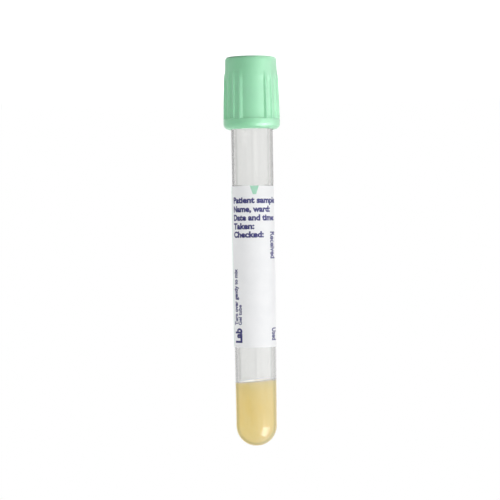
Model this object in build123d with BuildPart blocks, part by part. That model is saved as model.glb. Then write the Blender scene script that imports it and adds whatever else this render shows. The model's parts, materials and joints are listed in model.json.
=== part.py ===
from build123d import *
from math import asin, atan2, cos, degrees, radians, sin, sqrt, tan
import os

# Blood collection tube with its safety closure, in millimetres, +Z up.
# A round-ended tube can't stand on its end and rolls on its side, so it stands on
# its head: the flat ring of the closure's top is on Z = 0 and the rounded end is up.
# Heights on the tube's axis are measured from the rounded end towards the closure.

# --- Tube: one clear moulding -------------------------------------------------------
tube_length = 100.0
tube_diameter = 12.0
tube_wall = 0.9
straight_from = 27.0  # below this height the body narrows to its foot
foot_diameter = 11.75  # where the body meets the rounded end
end_floor = 1.3  # thickness of the rounded end on the axis
gate_flat_diameter = 2.4  # flat left in the middle of the end by the mould's gate
rim_round = 0.2

# --- Closure shield: ribbed plastic cap over the tube's mouth ------------------------
closure_height = 20.85
skirt_overlap = 8.85  # how far the skirt reaches down the tube
skirt_clearance = 0.3  # radial, between the skirt's bore and the tube
skirt_wall = 1.87  # radial, at the lower band
top_wall = 0.65  # radial, from the flange's seat out to the edge of the top
shell_draft = 1.8  # degrees, of the ribs and of the panels between them
band_height = 2.95
band_round = 0.2
lower_round = 1.7
top_round = 0.9
panel_recess = 0.12  # the panels lie this far below the plain upper band, at their top
panel_recess_at_band = 0.32  # below the same line, where they meet the lower band
panel_top = 13.65  # height of the panels' upper edge above the skirt's foot
panel_slope = 0.4  # length of the slope from the upper band down to the panels
well_diameter = 8.5
well_round = 0.4
top_web = 3.0  # thickness of the shield's top round the needle well

# --- Ribs of the closure shield --------------------------------------------------------
rib_groups = 3
ribs_per_group = 5
rib_step = 15.5  # degrees from one rib to the next in a group
rib_height = 0.26  # crest above the line of the upper band, at the panels' top
crest_sink = 0.02  # crest below the lower band's face, at the rib's foot
rib_crest = 0.62  # width across the crest
rib_flank = 45.0  # degrees, slope of a rib's sides
rib_round = 0.16
rib_run_out = 3.5  # length over which a rib sinks into the upper band
rib_root = 0.5  # depth to which a rib is set into the shell
front_panel_turn = 3.7  # degrees, middle of the widest panel from the tube's front

# --- Stopper: rubber plug held inside the closure shield -----------------------------
plug_depth = 7.5
plug_clearance = 0.03  # radial, running fit in the tube's mouth
plug_lead = 0.7  # chamfer that leads the plug into the tube
hollow_diameter = 6.8
hollow_depth = 4.6
flange_overhang = 0.4  # radial, beyond the skirt's bore, which hooks the flange
flange_height = 3.0
neck_diameter = 11.0
septum = 4.0
stopper_well_step = 0.2  # radial, beyond the shield's needle well
stopper_gap = 0.05  # between the stopper and the shield that holds it

# --- Label: film wrapped round the tube, open at the back ------------------------------
label_foot = 28.45
label_height = 46.35
label_thickness = 0.1
label_gap = 0.02  # adhesive between the label and the tube
label_window = 76.0  # degrees, open strip at the back

# --- Separator gel: set at a slant in the rounded end -----------------------------------
gel_height = 18.8  # on the axis
gel_slant = 5.0  # degrees, higher on the label's right side
gel_gap = 0.02  # between the gel and the tube's inner wall

# --- Worked out from the sizes above ----------------------------------------------------
tube_radius = tube_diameter / 2
foot_radius = foot_diameter / 2
gate_radius = gate_flat_diameter / 2
bore_radius = tube_radius - tube_wall
end_centre = sqrt(foot_radius**2 - gate_radius**2)  # height of the end sphere's centre
skirt_foot = tube_length - skirt_overlap
closure_top = skirt_foot + closure_height
skirt_bore_radius = tube_radius + skirt_clearance
band_radius = skirt_bore_radius + skirt_wall
flange_radius = skirt_bore_radius + flange_overhang
top_radius = flange_radius + stopper_gap + top_wall
flange_top = tube_length + flange_height
web_underside = closure_top - top_web
neck_radius = neck_diameter / 2
well_radius = well_diameter / 2
stopper_well_radius = well_radius + stopper_well_step
stopper_top = web_underside - stopper_gap
hollow_top = tube_length - plug_depth + hollow_depth
septum_top = hollow_top + septum


def upper_line(height):
    """Radius of the upper band's line at a height on the tube's axis."""
    return top_radius + (closure_top - height) * tan(radians(shell_draft))


# The tube's axis runs down from the rounded end; its front faces -Y. Seen from the
# front with the closure uppermost, the tube's right side is -X.
right = Vector(-1, 0, 0)
front = Vector(0, -1, 0)
down = Vector(0, 0, -1)
start = Vector(0, 0, closure_top)
tube_axis = Axis(start, down)
# Profiles are drawn as (radius, height on the axis), sections with Y to the front.
profile_plane = Plane(start, x_dir=right, z_dir=front)


def section_plane(height):
    """Plane square to the tube's axis at a height, its Y towards the tube's front."""
    return Plane(start + down * height, x_dir=-right, z_dir=down)


def corner(profile, radius, height):
    """The profile's corner nearest to a radius and a height."""
    return profile.vertices().sort_by_distance((radius, height, 0))[0]


def bore_outline(inset):
    """Draw the tube's inner wall, moved inwards by an inset, from the axis up."""
    radius = foot_radius - tube_wall - inset
    centre = end_floor + foot_radius - tube_wall
    CenterArc((0, centre), radius, -90, 90)
    Line((radius, centre), (bore_radius - inset, straight_from))


# --- Tube -----------------------------------------------------------------------------------
gate_angle = degrees(asin(gate_radius / foot_radius))
with BuildPart() as tube:
    with BuildSketch(profile_plane) as tube_profile:
        with BuildLine():
            Line((0, end_floor), (0, 0))
            Line((0, 0), (gate_radius, 0))
            CenterArc((0, end_centre), foot_radius, gate_angle - 90, 90 - gate_angle)
            Polyline(
                (foot_radius, end_centre),
                (tube_radius, straight_from),
                (tube_radius, tube_length),
                (bore_radius, tube_length),
                (bore_radius, straight_from),
            )
            bore_outline(0)
        make_face()
        fillet(corner(tube_profile, tube_radius, tube_length), rim_round)
        fillet(corner(tube_profile, bore_radius, tube_length), rim_round)
    revolve(axis=tube_axis)

# --- Rib: one ridge at the tube's front, cut to its run-out ------------------------------------
band_top = skirt_foot + band_height
rib_foot = band_top - rib_root
rib_full_to = skirt_foot + panel_top
rib_end = rib_full_to + rib_run_out
crest_foot = band_radius - crest_sink
crest_full = upper_line(rib_full_to) + rib_height
rib_depth = rib_height + panel_recess + rib_root
rib_half_crest = rib_crest / 2
rib_half_root = rib_half_crest + rib_depth * tan(radians(rib_flank))
rib_lean = atan2(crest_foot - crest_full, rib_full_to - rib_foot)
rib_direction = down * cos(rib_lean) - front * sin(rib_lean)
rib_start = start + down * rib_foot + front * crest_foot
with BuildPart() as rib:
    with BuildSketch(Plane(rib_start, x_dir=-right, z_dir=rib_direction)) as ridge:
        with BuildLine():
            Polyline(
                (-rib_half_crest, 0),
                (rib_half_crest, 0),
                (rib_half_root, -rib_depth),
                (-rib_half_root, -rib_depth),
                close=True,
            )
        make_face()
        fillet(ridge.vertices().group_by(Axis.Y)[-1], rib_round)
    extrude(amount=(rib_end - rib_foot) / cos(rib_lean))
    with BuildSketch(profile_plane):
        with BuildLine():
            Polyline(
                (crest_full, rib_full_to),
                (upper_line(rib_end) - rib_round, rib_end),
                (0, rib_end),
                (0, closure_top),
                (2 * band_radius, closure_top),
                (2 * band_radius, rib_full_to),
                close=True,
            )
        make_face()
    revolve(axis=tube_axis, mode=Mode.SUBTRACT)

# --- Closure shield ----------------------------------------------------------------------------
with BuildPart() as closure_shield:
    with BuildSketch(profile_plane) as shield_profile:
        with BuildLine():
            Polyline(
                (skirt_bore_radius, skirt_foot),
                (band_radius, skirt_foot),
                (band_radius, band_top),
                (upper_line(band_top) - panel_recess_at_band, band_top),
                (upper_line(rib_full_to) - panel_recess, rib_full_to),
                (upper_line(rib_full_to + panel_slope), rib_full_to + panel_slope),
                (top_radius, closure_top),
                (well_radius, closure_top),
                (well_radius, web_underside),
                (neck_radius + stopper_gap, web_underside),
                (neck_radius + stopper_gap, flange_top + stopper_gap),
                (flange_radius + stopper_gap, flange_top + stopper_gap),
                (flange_radius + stopper_gap, tube_length - stopper_gap),
                (skirt_bore_radius, tube_length - stopper_gap),
                close=True,
            )
        make_face()
        fillet(corner(shield_profile, band_radius, skirt_foot), lower_round)
        fillet(corner(shield_profile, band_radius, band_top), band_round)
        fillet(corner(shield_profile, top_radius, closure_top), top_round)
        fillet(corner(shield_profile, well_radius, closure_top), well_round)
    revolve(axis=tube_axis)
    group_turn = 360 / rib_groups
    group_arc = rib_step * (ribs_per_group - 1)
    for group in range(rib_groups):
        first_turn = front_panel_turn + group * group_turn + (group_turn - group_arc) / 2
        for place in range(ribs_per_group):
            add(rib.part.rotate(tube_axis, first_turn + place * rib_step))

# --- Stopper -----------------------------------------------------------------------------------
with BuildPart() as stopper:
    plug_radius = bore_radius - plug_clearance
    plug_foot = tube_length - plug_depth
    with BuildSketch(profile_plane) as stopper_profile:
        with BuildLine():
            Polyline(
                (0, hollow_top),
                (hollow_diameter / 2, hollow_top),
                (hollow_diameter / 2, plug_foot),
                (plug_radius, plug_foot),
                (plug_radius, tube_length),
                (flange_radius, tube_length),
                (flange_radius, flange_top),
                (neck_radius, flange_top),
                (neck_radius, stopper_top),
                (stopper_well_radius, stopper_top),
                (stopper_well_radius, septum_top),
                (0, septum_top),
                close=True,
            )
        make_face()
        chamfer(corner(stopper_profile, plug_radius, plug_foot), plug_lead)
    revolve(axis=tube_axis)

# --- Label -------------------------------------------------------------------------------------
label_inner = tube_radius + label_gap
label_outer = label_inner + label_thickness
window_reach = tube_diameter
window_half = window_reach * tan(radians(label_window / 2))
with BuildPart() as label:
    with BuildSketch(section_plane(label_foot)):
        Circle(label_outer)
        Circle(label_inner, mode=Mode.SUBTRACT)
        with BuildLine():
            Polyline(
                (0, 0),
                (window_half, -window_reach),
                (-window_half, -window_reach),
                close=True,
            )
        make_face(mode=Mode.SUBTRACT)
    extrude(amount=label_height)

# --- Separator gel --------------------------------------------------------------------------------
gel_normal = down * cos(radians(gel_slant)) - right * sin(radians(gel_slant))
gel_surface = Plane(start + down * gel_height, x_dir=front, z_dir=gel_normal)
with BuildPart() as separator_gel:
    with BuildSketch(profile_plane):
        with BuildLine():
            bore_outline(gel_gap)
            Polyline(
                (bore_radius - gel_gap, straight_from),
                (bore_radius - gel_gap, tube_length),
                (0, tube_length),
                (0, end_floor + gel_gap),
            )
        make_face()
    revolve(axis=tube_axis)
    split(bisect_by=gel_surface, keep=Keep.BOTTOM)

pieces = {
    "tube": tube,
    "closure_shield": closure_shield,
    "stopper": stopper,
    "label": label,
    "separator_gel": separator_gel,
}
os.makedirs("parts", exist_ok=True)
for name, piece in pieces.items():
    piece.part.label = name
    export_step(piece.part, f"parts/{name}.step")
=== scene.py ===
"""Looks for a blood collection tube that stands on its closure, all in metres."""

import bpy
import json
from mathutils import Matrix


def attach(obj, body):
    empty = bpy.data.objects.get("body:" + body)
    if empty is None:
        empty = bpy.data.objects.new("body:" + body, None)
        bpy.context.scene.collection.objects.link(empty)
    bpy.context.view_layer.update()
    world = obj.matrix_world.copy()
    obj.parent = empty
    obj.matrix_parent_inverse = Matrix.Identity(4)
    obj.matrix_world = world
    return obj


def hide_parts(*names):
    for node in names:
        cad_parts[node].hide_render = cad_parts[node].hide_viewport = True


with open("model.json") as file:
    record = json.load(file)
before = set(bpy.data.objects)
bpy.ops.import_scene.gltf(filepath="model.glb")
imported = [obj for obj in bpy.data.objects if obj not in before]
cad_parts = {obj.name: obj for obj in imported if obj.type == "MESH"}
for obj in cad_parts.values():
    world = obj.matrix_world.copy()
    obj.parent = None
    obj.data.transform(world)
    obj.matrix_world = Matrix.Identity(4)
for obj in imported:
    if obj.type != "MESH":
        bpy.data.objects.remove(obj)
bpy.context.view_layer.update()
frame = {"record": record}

import json
import logging
import math
from dataclasses import dataclass
from enum import Enum
from typing import Any

import bmesh
import bpy
from mathutils import Matrix, Vector

log = logging.getLogger("blood_tube")

Colour = tuple[float, float, float]
Rounding = tuple[float, int]  # A corner's radius and its segments.
Mesh = bmesh.types.BMesh
Material = bpy.types.Material
Node = bpy.types.Node
Socket = bpy.types.NodeSocket

MM = 0.001
FULL_TURN = 2 * math.pi
MERGE = 2e-7  # Points closer than this become one.
LEVEL = 1e-6  # Heights closer than this are the same.
CAPITAL_SHARE = 0.69  # Height of the lettering's capitals in its own size.
WHITE = (1.0, 1.0, 1.0, 1.0)
ORIGIN = (0.0, 0.0, 0.0)
LABEL_RIGHT = (-1.0, 0.0, 0.0)
BACK = (0.0, 1.0, 0.0)
UP = (0.0, 0.0, 1.0)


class Body(Enum):
    """The two bodies that move on their own."""

    TUBE = "tube"
    CLOSURE = "closure"


class Slot(Enum):
    """The record's material slots."""

    CLEAR_PLASTIC = "clear_plastic"
    MINT_PLASTIC = "mint_plastic"
    STOPPER_RUBBER = "stopper_rubber"
    LABEL_FILM = "label_film"
    GEL = "gel"


class Reading(Enum):
    """Which way a line of print runs on the label."""

    ACROSS = 0.0
    TO_CLOSURE = math.pi / 2
    TO_END = -math.pi / 2


# --- The tube's axis and the outlines that are turned round it ------------------------


@dataclass(frozen=True)
class TubeLine:
    """The tube's axis: heights on it run from the rounded end to the closure.

    A turn is measured from the label's front towards its right-hand side, as it is
    read with the closure uppermost.
    """

    end_level: float

    def place(self, turn: float, radius: float, height: float) -> Vector:
        """Point in the frame, at a turn in radians, a distance from the axis and a height."""
        across, out = radius * math.sin(turn), radius * math.cos(turn)
        return Vector((-across, -out, self.end_level - height))

    def height_of(self, point: Vector) -> float:
        """Height of a point."""
        return self.end_level - point.z

    def turn_of(self, point: Vector) -> float:
        """Turn of a point."""
        return math.atan2(-point.x, -point.y)


class Outline:
    """Half outline of a turned piece, drawn at the front as radius and height."""

    def __init__(self, line: TubeLine) -> None:
        """Start with nothing drawn.

        Args:
            line: The tube's axis.
        """
        self.line = line
        self.bm = bmesh.new()
        self.first: bmesh.types.BMVert | None = None
        self.last: bmesh.types.BMVert | None = None
        self.rounds: list[tuple[bmesh.types.BMVert, Rounding]] = []

    def draw(self, *points: tuple[Any, ...]) -> None:
        """Draw on through some points.

        Args:
            *points: Each point's distance from the axis, its height and, where its
                corner is rounded, the rounding.
        """
        for radius, height, *rounding in points:
            vert = self.bm.verts.new(self.line.place(0, radius, height))
            if self.last is not None:
                self.bm.edges.new((self.last, vert))
            self.first = self.first or vert
            self.last = vert
            self.rounds.extend((vert, corner) for corner in rounding)

    def arc(self, centre_height: float, angle: float, steps: int) -> None:
        """Draw an arc round a point on the axis.

        Args:
            centre_height: Height of the arc's centre.
            angle: Sweep, from the rounded end's side outwards if positive.
            steps: Segments.
        """
        made = bmesh.ops.spin(
            self.bm,
            geom=[self.last],
            cent=self.line.place(0, 0, centre_height),
            axis=(1, 0, 0),
            dvec=ORIGIN,
            angle=angle,
            steps=steps,
            use_duplicate=False,
        )
        self.last = made["geom_last"][0]

    def close(self) -> None:
        """Join the last point to the first."""
        self.bm.edges.new((self.last, self.first))

    def divide(self, longest: float, low: float, high: float) -> None:
        """Cut long edges whose middle is between two heights.

        Args:
            longest: Length that an edge may keep.
            low: Lower height.
            high: Upper height.
        """
        for edge in list(self.bm.edges):
            middle = self.line.height_of((edge.verts[0].co + edge.verts[1].co) / 2)
            cuts = math.ceil(edge.calc_length() / longest) - 1
            if cuts > 0 and low < middle < high:
                bmesh.ops.subdivide_edges(self.bm, edges=[edge], cuts=cuts)

    def round_corners(self) -> None:
        """Round the corners that were drawn with a rounding."""
        for vert, (radius, steps) in self.rounds:
            before, after = [edge.other_vert(vert).co - vert.co for edge in vert.link_edges]
            bend = math.pi - before.angle(after)
            bmesh.ops.bevel(
                self.bm,
                geom=[vert],
                offset=radius * math.tan(bend / 2),
                offset_type="OFFSET",
                affect="VERTICES",
                segments=steps,
                profile=0.5,
                material=-1,
            )
        self.rounds.clear()

    def spin(self, angle: float, steps: int, full: bool) -> None:
        """Turn the outline round the axis, either part of the way or fully."""
        bmesh.ops.spin(
            self.bm,
            geom=[*self.bm.verts, *self.bm.edges],
            cent=ORIGIN,
            axis=UP,
            dvec=ORIGIN,
            angle=angle,
            steps=steps,
            use_merge=full,
            use_duplicate=False,
        )

    def turned(self, steps: int) -> Mesh:
        """Turn the outline all the way round the axis.

        Args:
            steps: Segments round.

        Returns:
            The closed mesh.
        """
        self.round_corners()
        self.spin(FULL_TURN, steps, full=True)
        return cleaned(self.bm)

    def swept(self, steps: int, start: float, end: float) -> Mesh:
        """Turn a closed outline part of the way round and close its two ends.

        Args:
            steps: Segments round.
            start: Turn at which it starts.
            end: Turn at which it ends.

        Returns:
            The closed mesh.
        """
        self.round_corners()
        to_start = Matrix.Rotation(-start, 3, "Z")
        bmesh.ops.rotate(self.bm, verts=self.bm.verts, cent=ORIGIN, matrix=to_start)
        self.spin(start - end, steps, full=False)
        rims = [edge for edge in self.bm.edges if edge.is_boundary]
        bmesh.ops.holes_fill(self.bm, edges=rims, sides=0)
        return cleaned(self.bm)


def cleaned(bm: Mesh) -> Mesh:
    """Merge doubles and point the faces outwards.

    Args:
        bm: The mesh.

    Returns:
        The same mesh.
    """
    bmesh.ops.remove_doubles(bm, verts=bm.verts, dist=MERGE)
    bmesh.ops.recalc_face_normals(bm, faces=bm.faces)
    return bm


def finished(
    bm: Mesh,
    name: str,
    body: Body,
    material: Material,
    sharp_from: float = math.radians(40),
) -> bpy.types.Object:
    """Make a piece of a mesh: its object, finish and body.

    Args:
        bm: The piece's mesh, which is used up.
        name: The piece's name.
        body: The body that it moves with.
        material: Its finish.
        sharp_from: Angle from which an edge between two faces stays sharp.

    Returns:
        The piece.
    """
    mesh = bpy.data.meshes.new(name)
    bm.to_mesh(mesh)
    bm.free()
    mesh.shade_smooth()
    mesh.set_sharp_from_angle(angle=sharp_from)
    mesh.materials.append(material)
    piece = bpy.data.objects.new(name, mesh)
    bpy.context.scene.collection.objects.link(piece)
    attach(piece, body.value)
    mesh.calc_loop_triangles()
    log.info("%s: %d triangles, on %s", name, len(mesh.loop_triangles), body.value)
    return piece


# --- Nodes and the groups that several finishes share ----------------------------------


class NodeSheet:
    """Adds nodes to one tree and joins them."""

    def __init__(self, tree: bpy.types.NodeTree) -> None:
        """Work on a tree.

        Args:
            tree: The tree, whose nodes are removed first.
        """
        self.tree = tree
        tree.nodes.clear()

    def feed(self, socket: Socket, given: Any) -> None:
        """Feed an input from another node, or set its plain value.

        Args:
            socket: The input.
            given: A socket, a number or a tuple.
        """
        if isinstance(given, Socket):
            self.tree.links.new(given, socket)
        else:
            socket.default_value = given

    def add(self, kind: str, inputs: dict[Any, Any] | None = None, **settings: Any) -> Node:
        """Add a node.

        Args:
            kind: Its type.
            inputs: What its inputs are fed with, by their names or places.
            **settings: The node's own settings.

        Returns:
            The node.
        """
        made = self.tree.nodes.new(kind)
        for name, value in settings.items():
            setattr(made, name, value)
        for name, given in (inputs or {}).items():
            self.feed(made.inputs[name], given)
        return made

    def math(self, operation: str, first: Any, second: Any) -> Socket:
        """Work out one sum of two sockets or numbers."""
        return self.add("ShaderNodeMath", {0: first, 1: second}, operation=operation).outputs[0]

    def between(self, share: Socket, low: float, high: float) -> Socket:
        """Go from one number, at a share of 0, to another, at 1."""
        return self.math("ADD", self.math("MULTIPLY", share, high - low), low)

    def mix(self, share: Any, first: Any, second: Any) -> Socket:
        """Mix two colours.

        Args:
            share: Socket or number, 0 for the first colour and 1 for the second.
            first: Socket or colour.
            second: Socket or colour.

        Returns:
            The mixed colour's socket.
        """
        made = self.add("ShaderNodeMix", data_type="RGBA")
        sockets = {socket.identifier: socket for socket in made.inputs}
        self.feed(sockets["Factor_Float"], share)
        for name, given in (("A_Color", first), ("B_Color", second)):
            self.feed(sockets[name], (*given, 1.0) if isinstance(given, tuple) else given)
        return next(socket for socket in made.outputs if socket.identifier == "Result_Color")

    def blend(self, share: Any, first: Node, second: Node) -> Node:
        """Mix two shaders, the first at a share of 0 and the second at 1."""
        shaders = {1: first.outputs[0], 2: second.outputs[0]}
        return self.add("ShaderNodeMixShader", {0: share, **shaders})

    def white(self, kind: str, strength: Any = 1.0) -> Node:
        """Add a white light, an Emission or a Background."""
        return self.add(kind, {"Color": WHITE, "Strength": strength})

    def seen(self, *kinds: str) -> Socket:
        """Say whether a ray is of one of some kinds.

        Args:
            *kinds: Names of Light Path outputs.

        Returns:
            The answer's socket.
        """
        path = self.add("ShaderNodeLightPath")
        answer = path.outputs[kinds[0]]
        for kind in kinds[1:]:
            answer = self.math("MAXIMUM", answer, path.outputs[kind])
        return answer

    def ramp(self, value: Socket, low: float, high: float) -> Socket:
        """Spread a value smoothly, from what becomes 0 to what becomes 1."""
        limits = {"From Min": low, "From Max": high, "Value": value}
        return self.add("ShaderNodeMapRange", limits, interpolation_type="SMOOTHSTEP").outputs[0]

    def facing(self, way: Socket, towards: Colour, low: float, high: float) -> Socket:
        """Say how far a direction points to one side, from what becomes 0 to what becomes 1."""
        part = self.add("ShaderNodeVectorMath", {0: way, 1: towards}, operation="DOT_PRODUCT")
        return self.ramp(part.outputs["Value"], low, high)

    def place(self, along: float = 1.0) -> Socket:
        """Give the object's own coordinates.

        Args:
            along: Factor on them along the tube.

        Returns:
            The vector's socket.
        """
        object_place = self.add("ShaderNodeTexCoord").outputs["Object"]
        if along == 1.0:
            return object_place
        scaled = {"Scale": (1.0, 1.0, along), "Vector": object_place}
        return self.add("ShaderNodeMapping", scaled).outputs["Vector"]

    def noise(
        self,
        vector: Any,
        scale: Any,
        detail: float,
        roughness: float = 0.5,
        distortion: float = 0.0,
    ) -> Socket:
        """Add a noise that is read at a vector, with its scale per metre."""
        inputs = {"Vector": vector, "Scale": scale, "Detail": detail, "Roughness": roughness}
        return self.add("ShaderNodeTexNoise", {**inputs, "Distortion": distortion}).outputs["Fac"]


class Effect:
    """A shader node group that puts out one value, placed with a finish's own values."""

    def __init__(self, name: str, output: str, inputs: dict[str, float]) -> None:
        """Start the group, which always reads a vector.

        Args:
            name: Its name.
            output: Its output's name.
            inputs: Its other inputs' names and plain values.
        """
        self.tree = bpy.data.node_groups.new(name, "ShaderNodeTree")
        self.sheet = NodeSheet(self.tree)
        self.new_input("Vector", "NodeSocketVector", ORIGIN)
        for label, value in inputs.items():
            self.new_input(label, "NodeSocketFloat", value)
        self.tree.interface.new_socket(output, in_out="OUTPUT", socket_type="NodeSocketFloat")
        self.given = self.sheet.add("NodeGroupInput").outputs
        self.result = self.sheet.add("NodeGroupOutput").inputs

    def new_input(self, label: str, kind: str, value: Any) -> None:
        """Add an input with its plain value."""
        socket = self.tree.interface.new_socket(label, in_out="INPUT", socket_type=kind)
        socket.default_value = value

    def noise(self, *values: Any) -> Socket:
        """Add a noise that is read at the group's vector."""
        return self.sheet.noise(self.given["Vector"], *values)

    def put_out(self, value: Socket) -> None:
        """Give the group's value."""
        self.sheet.feed(self.result[0], value)

    def placed(self, sheet: NodeSheet, vector: Socket, values: dict[str, float]) -> Socket:
        """Place the group in a finish, with its other inputs' values."""
        made = sheet.add("ShaderNodeGroup", {"Vector": vector, **values}, node_tree=self.tree)
        return made.outputs[0]


class SharedEffects:
    """The node groups that several finishes place with their own values."""

    broad_share = 0.65
    fine_step = 6.3
    mottle_limits = (0.32, 0.68)
    wave_scale = 170.0
    smear_scale = 95.0
    smear_limits = (0.5, 0.72)
    rub_scale = 900.0
    rub_limits = (0.3, 0.7)

    def __init__(self) -> None:
        """Build the groups."""
        self.mottle = self._mottle()
        self.moulded_skin = self._moulded_skin()
        self.handling = self._handling()

    def _mottle(self) -> Effect:
        """Two-scale cloud that runs from a low to a high value.

        Returns:
            The group.
        """
        effect = Effect("mottle", "Value", {"Scale": 200.0, "Low": 0.0, "High": 1.0})
        sheet, given = effect.sheet, effect.given
        broad = effect.noise(given["Scale"], 2.0)
        fine = effect.noise(sheet.math("MULTIPLY", given["Scale"], self.fine_step), 3.0, 0.6)
        both = sheet.math(
            "ADD",
            sheet.math("MULTIPLY", broad, self.broad_share),
            sheet.math("MULTIPLY", fine, 1 - self.broad_share),
        )
        low, high = self.mottle_limits
        inputs = {
            "Value": both,
            "From Min": low,
            "From Max": high,
            "To Min": given["Low"],
            "To Max": given["High"],
        }
        spread = sheet.add("ShaderNodeMapRange", inputs, interpolation_type="SMOOTHSTEP")
        effect.put_out(spread.outputs["Result"])
        return effect

    def _moulded_skin(self) -> Effect:
        """Height of a moulded surface: fine spark-eroded grain over slow sink waves.

        Returns:
            The group.
        """
        values = {"Grain Scale": 6000.0, "Grain": 0.5, "Wave": 0.5}
        effect = Effect("moulded_skin", "Height", values)
        sheet, given = effect.sheet, effect.given
        grain = effect.noise(given["Grain Scale"], 3.0, 0.65)
        wave = effect.noise(self.wave_scale, 1.0)
        height = sheet.math(
            "ADD",
            sheet.math("MULTIPLY", grain, given["Grain"]),
            sheet.math("MULTIPLY", wave, given["Wave"]),
        )
        effect.put_out(height)
        return effect

    def _handling(self) -> Effect:
        """Mask of faint rubs and fingertip smears.

        Returns:
            The group.
        """
        effect = Effect("handling", "Mask", {"Amount": 1.0})
        sheet = effect.sheet
        smear = sheet.ramp(effect.noise(self.smear_scale, 4.0, 0.62, 0.6), *self.smear_limits)
        rub = sheet.ramp(effect.noise(self.rub_scale, 2.0), *self.rub_limits)
        broken = sheet.math("MULTIPLY", smear, rub)
        effect.put_out(sheet.math("MULTIPLY", broken, effect.given["Amount"]))
        return effect


# --- Finishes --------------------------------------------------------------------------


@dataclass(frozen=True)
class Cloud:
    """The mottle's values in a finish.

    Attributes:
        scale: Its scale, per metre.
        low: Value in its hollows.
        high: Value on its heights.
        along: Factor on its scale along the tube.
    """

    scale: float
    low: float
    high: float
    along: float = 1.0

    def lay(self, sheet: NodeSheet, shared: SharedEffects) -> Socket:
        """Place the mottle with these values."""
        values = {"Scale": self.scale, "Low": self.low, "High": self.high}
        return shared.mottle.placed(sheet, sheet.place(self.along), values)


@dataclass(frozen=True)
class Relief:
    """The moulded skin's values in a finish.

    Attributes:
        grain_scale: Scale of its grain, per metre.
        grain: Height of the grain.
        wave: Height of its slow waves.
        strength: Strength of the bump that shows it.
        depth: The bump's distance.
        along: Factor on its scale along the tube.
    """

    grain_scale: float
    grain: float
    wave: float
    strength: float
    depth: float
    along: float = 1.0

    def lay(self, sheet: NodeSheet, shared: SharedEffects) -> Socket:
        """Place the moulded skin and its bump with these values.

        Args:
            sheet: The finish's sheet.
            shared: The shared node groups.

        Returns:
            The bumped normal's socket.
        """
        values = {"Grain Scale": self.grain_scale, "Grain": self.grain, "Wave": self.wave}
        height = shared.moulded_skin.placed(sheet, sheet.place(self.along), values)
        bump = {"Strength": self.strength, "Distance": self.depth, "Height": height}
        return sheet.add("ShaderNodeBump", bump).outputs["Normal"]


@dataclass(frozen=True, kw_only=True)
class Finish:
    """A finish of two clouded colours, with an uneven roughness and a fine relief.

    Attributes:
        name: The material's name.
        colour: Its main colour.
        second: The colour that its clouds bring.
        cloud: Its clouds, or None where its rubs bring the second colour.
        roughness: Its roughness.
        relief: Its relief.
        refraction: Its index of refraction.
        rubs: How strong its rubs and smears are.
        rubs_roughen: What they add to its roughness.
    """

    name: str
    colour: Colour
    second: Colour
    cloud: Cloud | None
    roughness: Cloud
    relief: Relief
    refraction: float
    rubs: float = 0.0
    rubs_roughen: float = 0.0

    def build(self, shared: SharedEffects) -> Material:
        """Make the material.

        Args:
            shared: The shared node groups.

        Returns:
            The material.
        """
        material = bpy.data.materials.new(self.name)
        material.use_nodes = True
        sheet = NodeSheet(material.node_tree)
        rubs: Any = 0.0
        roughness = self.roughness.lay(sheet, shared)
        if self.rubs:
            rubs = shared.handling.placed(sheet, sheet.place(), {"Amount": self.rubs})
            added = sheet.math("MULTIPLY", rubs, self.rubs_roughen)
            roughness = sheet.math("ADD", roughness, added)
        shell = sheet.add(
            "ShaderNodeBsdfPrincipled",
            {
                "IOR": self.refraction,
                "Base Color": self.coloured(sheet, shared, rubs),
                "Roughness": roughness,
                "Normal": self.relief.lay(sheet, shared),
                **self.plain(),
            },
        )
        sheet.add("ShaderNodeOutputMaterial", self.put_out(sheet, shell))
        return material

    def coloured(self, sheet: NodeSheet, shared: SharedEffects, rubs: Any) -> Socket:
        """Mix the finish's first two colours."""
        share = self.cloud.lay(sheet, shared) if self.cloud else rubs
        return sheet.mix(share, self.colour, self.second)

    def plain(self) -> dict[str, Any]:
        """Plain values of the main shader's other inputs."""
        return {}

    def put_out(self, sheet: NodeSheet, shell: Node) -> dict[str, Socket]:
        """Say what the material puts out, here its main shader's surface."""
        return {"Surface": shell.outputs[0]}


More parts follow.
